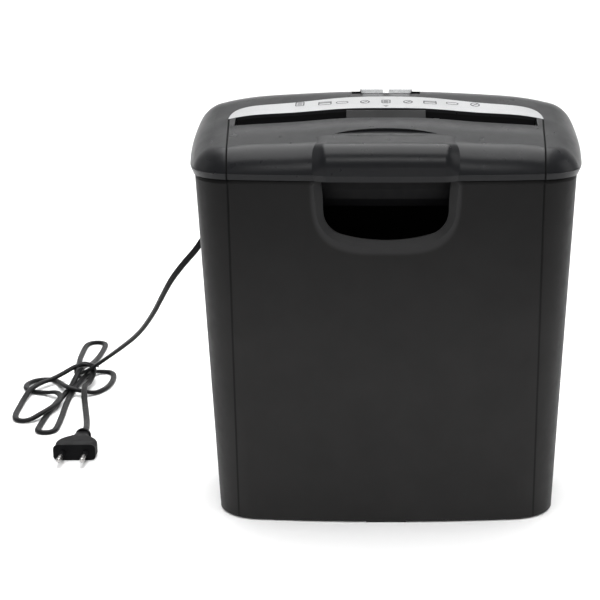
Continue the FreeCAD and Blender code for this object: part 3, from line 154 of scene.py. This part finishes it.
LOWER_LOOP = [(-298, 208, 5.9), (-302, 190, 5.9), (-308, 175, 5.6), (-316, 166, 2.6), (-325, 166, 1.9),
              (-331, 174, 1.9), (-333, 190, 1.9), (-333.5, 208, 1.9), (-334, 226, 2.4), (-332, 246, 5.9),
              (-326, 266, 5.9), (-316, 281, 5.9), (-306, 292, 9.4)]
OVER_THE_TIE = [(-297, 299, 13.4), (-288, 303, 13.4), (-281, 298, 13.2), (-279, 285, 9)]
TAIL = [(-281, 268, 4.4), (-281.5, 251, 8.6), (-279, 231, 8.4), (-274.5, 210, 2.8), (-270, 189, 2.4),
        (-265.5, 167, 2.6), (-262, 147, 4.2), (-259.5, 129, 6.2), (-259, 112, 6.85)]
CORD_POINTS = ROUTE + BACK_LOOP + FRONT_LOOP + RIGHT_LOOP + LEFT_LOOP + LOWER_LOOP + OVER_THE_TIE + TAIL


def nurbs_curve(name, points, width, thickness, tilts):
    """Flat cable along one smooth spline; points are in millimetres, tilts turn its wide side."""
    curve = bpy.data.curves.new(name, "CURVE")
    curve.dimensions = "3D"
    curve.twist_mode = "Z_UP"
    spline = curve.splines.new("NURBS")
    spline.points.add(len(points) - 1)
    for point, (x, y, z), tilt in zip(spline.points, points, tilts):
        point.co = (x * MM, y * MM, z * MM, 1.0)
        point.radius = MM
        point.tilt = tilt
    spline.order_u = 3
    spline.use_endpoint_u = True
    curve.resolution_u = 8
    curve.bevel_depth = thickness / 2 / MM
    curve.bevel_resolution = 4
    curve.extrude = (width - thickness) / 2 / MM
    curve.use_fill_caps = True
    cable = bpy.data.objects.new(name, curve)
    bpy.context.collection.objects.link(cable)
    return cable


def make_cord():
    shares = [(i - FIRST_TURNED_POINT) / TURNING_POINTS for i in range(len(CORD_POINTS))]
    turning = [math.pi / 2 * max(0.0, min(1.0, share)) for share in shares]
    cable = nurbs_curve("mains_cord", CORD_POINTS, CORD_WIDTH, CORD_THICKNESS, turning)
    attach(cable, "head")
    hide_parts("power_cord", "cord_hank", "cord_tail")
    return cable


# ---------------------------------------------------------------- node materials
def new_material(name):
    material = bpy.data.materials.new(name)
    material.use_nodes = True
    tree = material.node_tree
    shader = tree.nodes["Principled BSDF"]
    place = tree.nodes.new("ShaderNodeTexCoord")
    return material, tree, shader, place.outputs["Object"]


def noise(tree, place, scale, detail=3.0, roughness=0.55, stretch=None):
    if stretch:
        mapping = tree.nodes.new("ShaderNodeMapping")
        mapping.inputs["Scale"].default_value = stretch
        tree.links.new(place, mapping.inputs["Vector"])
        place = mapping.outputs["Vector"]
    node = tree.nodes.new("ShaderNodeTexNoise")
    node.inputs["Scale"].default_value = scale
    node.inputs["Detail"].default_value = detail
    node.inputs["Roughness"].default_value = roughness
    tree.links.new(place, node.inputs["Vector"])
    return node.outputs["Fac"]


def ramp(tree, value, low, high, start=0.3, end=0.7):
    """Colour or grey that goes from low to high as value goes from start to end."""
    node = tree.nodes.new("ShaderNodeValToRGB")
    first, second = node.color_ramp.elements
    first.position = start
    second.position = end
    first.color = (*low, 1.0)
    second.color = (*high, 1.0)
    tree.links.new(value, node.inputs["Fac"])
    return node.outputs["Color"]


def grey(value):
    return (value, value, value)


def bump(tree, shader, height, strength, distance):
    node = tree.nodes.new("ShaderNodeBump")
    node.inputs["Strength"].default_value = strength
    node.inputs["Distance"].default_value = distance
    tree.links.new(height, node.inputs["Height"])
    tree.links.new(node.outputs["Normal"], shader.inputs["Normal"])


def add(tree, first, second, share):
    """first plus share of second, for two heights."""
    node = tree.nodes.new("ShaderNodeMath")
    node.operation = "MULTIPLY_ADD"
    node.inputs[1].default_value = share
    tree.links.new(second, node.inputs[0])
    tree.links.new(first, node.inputs[2])
    return node.outputs["Value"]


def shade(color, factor):
    return tuple(min(1.0, channel * factor) for channel in color)


def plastic(name, color, roughness, grain=2600.0, depth=0.035, spread=0.12, specular=0.5, tint=(1, 1, 1)):
    """Moulded plastic with a spark-eroded grain and slightly uneven gloss.

    grain is the texture's scale, depth its height in millimetres, and spread how much the roughness varies.
    """
    material, tree, shader, place = new_material(name)
    blotch = noise(tree, place, BLOTCH_SCALE, 4.0)
    tinted = tuple(channel * part for channel, part in zip(color, tint))
    tree.links.new(ramp(tree, blotch, shade(tinted, 0.92), shade(color, 1.08)), shader.inputs["Base Color"])
    cloud = noise(tree, place, CLOUD_SCALE, 3.0)
    tree.links.new(ramp(tree, cloud, grey(roughness * (1 - spread)), grey(roughness * (1 + spread))),
                   shader.inputs["Roughness"])
    fine = noise(tree, place, grain, 2.0)
    coarse = noise(tree, place, grain / 3.0, 2.0)
    bump(tree, shader, add(tree, fine, coarse, 0.5), 0.6, depth * MM)
    shader.inputs["Specular IOR Level"].default_value = specular
    return material


def math_node(tree, operation, first, second):
    """Result of one sum; the second value is a socket or a number."""
    node = tree.nodes.new("ShaderNodeMath")
    node.operation = operation
    tree.links.new(first, node.inputs[0])
    if isinstance(second, float):
        node.inputs[1].default_value = second
    else:
        tree.links.new(second, node.inputs[1])
    return node.outputs["Value"]


def absolute(tree, value):
    return math_node(tree, "ABSOLUTE", value, 0.0)


def span(tree, value, ends, low, high, smooth=True):
    """Value mapped from its two ends to low and high, and held beyond them."""
    node = tree.nodes.new("ShaderNodeMapRange")
    node.interpolation_type = "SMOOTHSTEP" if smooth else "LINEAR"
    node.inputs["From Min"].default_value, node.inputs["From Max"].default_value = ends
    node.inputs["To Min"].default_value = low
    node.inputs["To Max"].default_value = high
    tree.links.new(value, node.inputs["Value"])
    return node.outputs["Result"]


def object_axes(tree):
    """X, Y and Z of the surface point, in the frame of the CAD model."""
    place = tree.nodes.new("ShaderNodeTexCoord")
    axes = tree.nodes.new("ShaderNodeSeparateXYZ")
    tree.links.new(place.outputs["Object"], axes.inputs["Vector"])
    return axes.outputs


def blend_color(tree, share, color):
    """Move the shader's colour towards color by share."""
    base = tree.nodes["Principled BSDF"].inputs["Base Color"]
    mix = tree.nodes.new("ShaderNodeMix")
    mix.data_type = "RGBA"
    factor, first, second = mix.inputs[0], mix.inputs[6], mix.inputs[7]
    second.default_value = (*color, 1.0)
    tree.links.new(share, factor)
    tree.links.new(base.links[0].from_socket, first)
    tree.links.new(mix.outputs[2], base)


def one_minus(tree, value):
    return math_node(tree, "SUBTRACT", math_node(tree, "MULTIPLY", value, -1.0), -1.0)


def paint_joint_shade(tree, axis, ends, spots, limit, least):
    """Painted shade along a joint line: the material is darkened and made matt there.

    The line lies at x = spots on both sides where the axis coordinate is at ends, and stops at y = limit;
    least is what is left of the colour in the line.
    """
    axes = object_axes(tree)
    joint = span(tree, axes[axis], ends, *spots, smooth=False)
    away = absolute(tree, math_node(tree, "SUBTRACT", absolute(tree, axes["X"]), joint))
    clear = span(tree, away, (JOINT_CORE, JOINT_HALF_WIDTH), least, 1.0)
    behind = span(tree, axes["Y"], (limit, limit + 1.0 * MM), 0.0, 1.0)
    dark = one_minus(tree, math_node(tree, "MAXIMUM", clear, behind))
    roughness = tree.nodes["Principled BSDF"].inputs["Roughness"]
    tree.links.new(math_node(tree, "MAXIMUM", roughness.links[0].from_socket, dark), roughness)
    blend_color(tree, dark, JOINT_PAINTED_SHADE)


def head_covers(name):
    """Satin head plastic, with painted shade along the joints at the two ends of the fascia."""
    material = plastic(name, BLACK, 0.30, grain=2400.0, depth=0.03, spread=0.10, specular=0.20,
                       tint=BLACK_TINT)
    # painted shade along the joints at the two ends of the fascia
    paint_joint_shade(material.node_tree, "Y", (FASCIA_FRONT, 0.0), (SEAM_FRONT, SEAM_REAR), 0.0, JOINT_LEAST)
    return material


def paint_bevel_light(tree):
    """Painted light on the bevel round the hand hole: its colour is lightened where light falls on the
    chamfer.
    """
    axes = object_axes(tree)
    across = math_node(tree, "MULTIPLY", absolute(tree, axes["X"]), 1 / BEVEL_HALF_WIDTH)
    below = math_node(tree, "MULTIPLY", math_node(tree, "SUBTRACT", axes["Z"], BIN_TOP), -1 / BEVEL_DEPTH)
    below = math_node(tree, "MAXIMUM", below, 0.0)
    edge = math_node(tree, "ADD", math_node(tree, "POWER", across, BEVEL_POWER),
                     math_node(tree, "POWER", below, BEVEL_POWER))
    inside = span(tree, edge, BEVEL_BLUR, 1.0, 0.0)
    front = span(tree, axes["Y"], BEVEL_REACH, BEVEL_PAINTED_LIGHT_SHARE, 0.0)
    blend_color(tree, math_node(tree, "MULTIPLY", inside, front), BEVEL_PAINTED_LIGHT)


def bin_plastic(name):
    """Matt plastic of the bin, with painted shade that darkens it upwards under the head, painted light on
    the bevel round the hand hole, and a painted shade line along a crease at each front corner.
    """
    material = plastic(name, BIN_BLACK, 0.48, grain=2400.0, depth=0.05, spread=0.10, specular=0.20)
    tree = material.node_tree
    tree.nodes["Principled BSDF"].inputs["IOR"].default_value = BIN_IOR
    # painted shade: darker towards the top of the bin
    blend_color(tree, span(tree, object_axes(tree)["Z"], PAINTED_SHADE_HEIGHTS, 0.0, PAINTED_SHADE_SHARE), BIN_PAINTED_SHADE)
    # painted light on the bevel round the hand hole
    paint_bevel_light(tree)
    # painted shade along the crease of each front corner
    paint_joint_shade(tree, "Z", CREASE_ENDS, CREASE_SPOTS, CREASE_REACH, CREASE_LEAST)
    return material


def metal(name, color, roughness, brush=None, scale=900.0, depth=0.02):
    """Metal with brushed or mottled gloss; brush stretches the grain along one axis."""
    material, tree, shader, place = new_material(name)
    shader.inputs["Metallic"].default_value = 1.0
    grain = noise(tree, place, scale, 4.0, 0.6, brush)
    cloud = noise(tree, place, 60.0, 4.0)
    tree.links.new(ramp(tree, cloud, shade(color, 0.85), shade(color, 1.1)), shader.inputs["Base Color"])
    gloss = ramp(tree, grain, grey(roughness * 0.75), grey(roughness * 1.25))
    tree.links.new(gloss, shader.inputs["Roughness"])
    bump(tree, shader, grain, 0.5, depth * MM)
    return material


def silver_paint(name):
    """Silver-grey metallic paint on plastic, with a fine flake."""
    material, tree, shader, place = new_material(name)
    flake = noise(tree, place, 5200.0, 1.0)
    silver = ramp(tree, flake, (0.30, 0.304, 0.308), (0.40, 0.404, 0.408), 0.35, 0.65)
    tree.links.new(silver, shader.inputs["Base Color"])
    cloud = noise(tree, place, 70.0, 3.0)
    tree.links.new(ramp(tree, cloud, grey(0.36), grey(0.44)), shader.inputs["Roughness"])
    shader.inputs["Metallic"].default_value = 0.45
    bump(tree, shader, flake, 0.3, 0.01 * MM)
    return material


def cable_material(name):
    """Flexible cable sheath: satin, with faint lengthwise scuffs."""
    material, tree, shader, place = new_material(name)
    scuff = noise(tree, place, 260.0, 5.0, 0.65)
    black = ramp(tree, scuff, (0.0022, 0.0022, 0.0026), (0.0055, 0.0055, 0.006))
    tree.links.new(black, shader.inputs["Base Color"])
    tree.links.new(ramp(tree, scuff, grey(0.36), grey(0.52)), shader.inputs["Roughness"])
    bump(tree, shader, noise(tree, place, 1500.0, 2.0), 0.4, 0.03 * MM)
    shader.inputs["Specular IOR Level"].default_value = 0.14
    return material


PLASTICS = {
    "charcoal_plastic": dict(color=BLACK, roughness=0.35, grain=2400.0, depth=0.05, spread=0.10,
                             specular=0.22, tint=BLACK_TINT),
    "guide_grey": dict(color=(0.006, 0.0061, 0.0065), roughness=0.5, specular=0.16),
    "inner_black": dict(color=(0.0035, 0.0035, 0.004), roughness=0.55, grain=1800.0, depth=0.05,
                        specular=0.15),
    "foot_rubber": dict(color=(0.012, 0.012, 0.012), roughness=0.72, grain=900.0, depth=0.12),
    "gear_nylon": dict(color=(0.70, 0.68, 0.60), roughness=0.45, grain=1400.0, depth=0.03),
    "comb_plastic": dict(color=(0.030, 0.030, 0.032), roughness=0.50),
    "magnet": dict(color=(0.05, 0.05, 0.052), roughness=0.6, grain=700.0, depth=0.08),
    "fan_plastic": dict(color=(0.02, 0.02, 0.021), roughness=0.45),
    "board_green": dict(color=(0.012, 0.085, 0.030), roughness=0.32, grain=500.0, depth=0.05),
    "relay_blue": dict(color=(0.012, 0.045, 0.18), roughness=0.36),
    "capacitor_can": dict(color=(0.012, 0.012, 0.04), roughness=0.24),
    "terminal_green": dict(color=(0.02, 0.15, 0.06), roughness=0.42),
    "switch_black": dict(color=(0.012, 0.012, 0.013), roughness=0.40),
    "sensor_white": dict(color=(0.66, 0.66, 0.64), roughness=0.42),
    "plunger_red": dict(color=(0.38, 0.018, 0.014), roughness=0.40),
    "plug_black": dict(color=(0.0035, 0.0035, 0.004), roughness=0.55, grain=1900.0, depth=0.04,
                       specular=0.08),
    "tie_black": dict(color=(0.014, 0.014, 0.015), roughness=0.34, grain=1200.0, depth=0.03),
}
METALS = {
    "plate_steel": dict(color=(0.55, 0.56, 0.57), roughness=0.38, brush=(1.0, 1.0, 9.0)),
    "cutter_steel": dict(color=(0.34, 0.34, 0.35), roughness=0.30, brush=(14.0, 1.0, 1.0)),
    "shaft_steel": dict(color=(0.58, 0.58, 0.59), roughness=0.22, brush=(16.0, 1.0, 1.0)),
    "bush_bronze": dict(color=(0.50, 0.32, 0.16), roughness=0.42),
    "motor_steel": dict(color=(0.48, 0.49, 0.50), roughness=0.34, brush=(1.0, 8.0, 8.0)),
    "copper": dict(color=(0.62, 0.26, 0.10), roughness=0.34, brush=(1.0, 20.0, 1.0), scale=500.0,
                   depth=0.12),
    "knob_silver": dict(color=(0.74, 0.75, 0.76), roughness=0.20, brush=(1.0, 14.0, 1.0), scale=700.0,
                        depth=0.01),
    "screw_steel": dict(color=(0.50, 0.50, 0.50), roughness=0.32),
    "pin_brass": dict(color=(0.42, 0.41, 0.40), roughness=0.26),
}
MADE = {name: plastic(name, **look) for name, look in PLASTICS.items()}
MADE.update({name: metal(name, **look) for name, look in METALS.items()})
MADE["silver_panel"] = silver_paint("silver_panel")
MADE["cord_black"] = cable_material("cord_black")


def paint(obj, material):
    """Give every material place of obj the one material."""
    if not obj.material_slots:
        obj.data.materials.append(material)
    for place in obj.material_slots:
        place.material = material


def paint_nodes():
    """Every CAD node gets the material of its slot; the covers and the bin get their own."""
    for part in frame["record"]["subparts"]:
        paint(NODES[part["node"]], MADE[part["material_slot"]])
    covers = head_covers("head_covers")
    paint(NODES["head_shell"], covers)
    paint(NODES["front_fascia"], covers)
    paint(NODES["waste_bin"], bin_plastic("bin_plastic"))


# ---------------------------------------------------------------- small pieces
def mesh_object(name, mesh_data):
    mesh = bpy.data.meshes.new(name)
    mesh_data.to_mesh(mesh)
    mesh_data.free()
    obj = bpy.data.objects.new(name, mesh)
    bpy.context.collection.objects.link(obj)
    return obj


# Marks are drawn in millimetres on the top of PRINTED_NODE.
def surface_height(x, y):
    """Height of the printed surface at x, y, in metres."""
    _, place, _, _ = NODES[PRINTED_NODE].ray_cast(Vector((x, y, 1.0)), Vector((0.0, 0.0, -1.0)))
    return place.z


def flat_mark(mesh, outline):
    """Add a thin printed shape that follows the surface; outline is a list of (x, y)."""
    corners = [(x * MM, y * MM) for x, y in outline]
    mesh.faces.new([mesh.verts.new((x, y, surface_height(x, y) + PRINT_LIFT)) for x, y in corners])


def ring_mark(mesh, x, y, radius, width, count=20, start=0.0, end=2 * math.pi):
    """Printed ring, or an arc of one."""
    for i in range(count):
        a = start + (end - start) * i / count
        b = start + (end - start) * (i + 1) / count
        corners = [(a, radius), (b, radius), (b, radius - width), (a, radius - width)]
        flat_mark(mesh, [(x + r * math.cos(t), y + r * math.sin(t)) for t, r in corners])


def bar_mark(mesh, x0, y0, x1, y1, width):
    along = Vector((x1 - x0, y1 - y0)).normalized() * width / 2
    side = Vector((-along.y, along.x))
    flat_mark(mesh, [(x0 - side.x, y0 - side.y), (x1 - side.x, y1 - side.y),
                     (x1 + side.x, y1 + side.y), (x0 + side.x, y0 + side.y)])


def box_mark(mesh, x, y, half_x, half_y, width):
    for x0, y0, x1, y1 in ((-1, -1, 1, -1), (1, -1, 1, 1), (1, 1, -1, 1), (-1, 1, -1, -1)):
        bar_mark(mesh, x + x0 * half_x, y + y0 * half_y, x + x1 * half_x, y + y1 * half_y, width)


def sheet_mark(mesh, x, y):
    """Sheet of paper with lines of writing."""
    box_mark(mesh, x, y, 3.0, 3.5, 0.85)
    for row in (-1.7, 0.0, 1.7):
        bar_mark(mesh, x - 1.9, y + row, x + 1.9, y + row, 0.8)


def card_mark(mesh, x, y):
    """Payment card."""
    box_mark(mesh, x, y, 4.6, 3.0, 0.85)
    bar_mark(mesh, x - 4.2, y + 0.9, x + 4.2, y + 0.9, 1.5)


def ban_mark(mesh, x, y):
    """Crossed circle."""
    ring_mark(mesh, x, y, 3.7, 0.95)
    bar_mark(mesh, x - 2.3, y - 2.3, x + 2.3, y + 2.3, 0.95)


def clip_mark(mesh, x, y):
    """Paper clip."""
    ring_mark(mesh, x - 2.4, y, 2.3, 0.8, 10, math.pi / 2, 3 * math.pi / 2)
    ring_mark(mesh, x + 2.6, y, 2.3, 0.8, 10, -math.pi / 2, math.pi / 2)
    for side in (-1.9, 1.9):
        bar_mark(mesh, x - 2.4, y + side, x + 2.6, y + side, 0.8)


def arrow_mark(mesh, x, y):
    """Small solid triangle that points into the slot."""
    flat_mark(mesh, [(x - 2.2, y + 1.4), (x, y - 1.2), (x + 2.2, y + 1.4)])


MARKS = [(-65.1, 16.3, sheet_mark), (-46.1, 14.3, card_mark), (-33.2, 13.9, clip_mark),
         (-15.9, 13.8, ban_mark), (0.0, 14.6, sheet_mark), (16.6, 13.8, ban_mark),
         (33.2, 13.9, card_mark), (49.9, 14.8, clip_mark), (67.3, 15.6, ban_mark),
         (0.0, 3.4, arrow_mark)]


def make_panel_marks():
    """Row of generic pictograms printed on the control panel."""
    mesh = bmesh.new()
    for x, y, draw in MARKS:
        draw(mesh, x, y)
    marks = mesh_object("panel_marks", mesh)
    paint(marks, plastic("print_ink", (0.020, 0.021, 0.023), 0.60))
    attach(marks, "head")


def make_twist_tie():
    """Coated wire wound round the loops, its ends twisted together."""
    x, y, z = TIE_CENTRE
    points = []
    for i in range(TIE_STEPS + 1):
        angle = 2 * math.pi * TIE_TURNS * i / TIE_STEPS + TIE_START
        points.append((x + TIE_RADII[0] * math.cos(angle), y + TIE_PITCH * (i / TIE_STEPS - 0.5) * TIE_TURNS,
                       z + TIE_RADII[1] * math.sin(angle)))
    x, y, z = points[-1]
    points += [(x + right, y + back, z + up) for right, back, up in TIE_END]
    tie = nurbs_curve("twist_tie_wire", points, TIE_WIDTH, TIE_THICKNESS, [0.0] * len(points))
    paint(tie, MADE["tie_black"])
    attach(tie, "head")
    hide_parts("twist_tie")
    return tie


# ---------------------------------------------------------------- stage
def make_floor():
    """Pale floor that curves up into a backdrop."""
    mesh = bmesh.new()
    profile = [(FLOOR_FRONT, 0.0), (SWEEP_START, 0.0)]
    for i in range(1, SWEEP_STEPS + 1):
        angle = math.pi / 2 * i / SWEEP_STEPS
        profile.append((SWEEP_START + SWEEP_RADIUS * math.sin(angle), SWEEP_RADIUS * (1 - math.cos(angle))))
    profile.append((SWEEP_START + SWEEP_RADIUS, WALL_TOP))
    sides = (-FLOOR_HALF_WIDTH, FLOOR_HALF_WIDTH)
    rows = [[mesh.verts.new((x, y, z)) for y, z in profile] for x in sides]
    for a, b, c, d in zip(rows[0], rows[0][1:], rows[1][1:], rows[1]):
        mesh.faces.new((a, d, c, b))
    floor = mesh_object("floor", mesh)
    for face in floor.data.polygons:
        face.use_smooth = True
    material, tree, shader, place = new_material("studio_floor")
    tree.links.new(ramp(tree, noise(tree, place, 3.0), grey(0.94), grey(0.96)), shader.inputs["Base Color"])
    shader.inputs["Roughness"].default_value = 0.7
    paint(floor, material)


def area_light(name, place, aim, size, power):
    data = bpy.data.lights.new(name, "AREA")
    data.shape = "RECTANGLE"
    data.size, data.size_y = size
    data.energy = power
    light = bpy.data.objects.new(name, data)
    light.location = place
    light.rotation_euler = (Vector(aim) - Vector(place)).to_track_quat("-Z", "Y").to_euler()
    bpy.context.collection.objects.link(light)


def make_lights():
    for light in LIGHTS:
        area_light(*light)
    world = bpy.data.worlds.new("studio")
    world.use_nodes = True
    background = world.node_tree.nodes["Background"]
    background.inputs["Color"].default_value = (1.0, 1.0, 1.0, 1.0)
    background.inputs["Strength"].default_value = SKY_STRENGTH
    bpy.context.scene.world = world


make_camera()
cord = make_cord()
paint(cord, MADE["cord_black"])
paint_nodes()
tie = make_twist_tie()
make_panel_marks()
make_floor()
make_lights()
bpy.context.scene.view_settings.view_transform = "Standard"
bpy.context.view_layer.update()
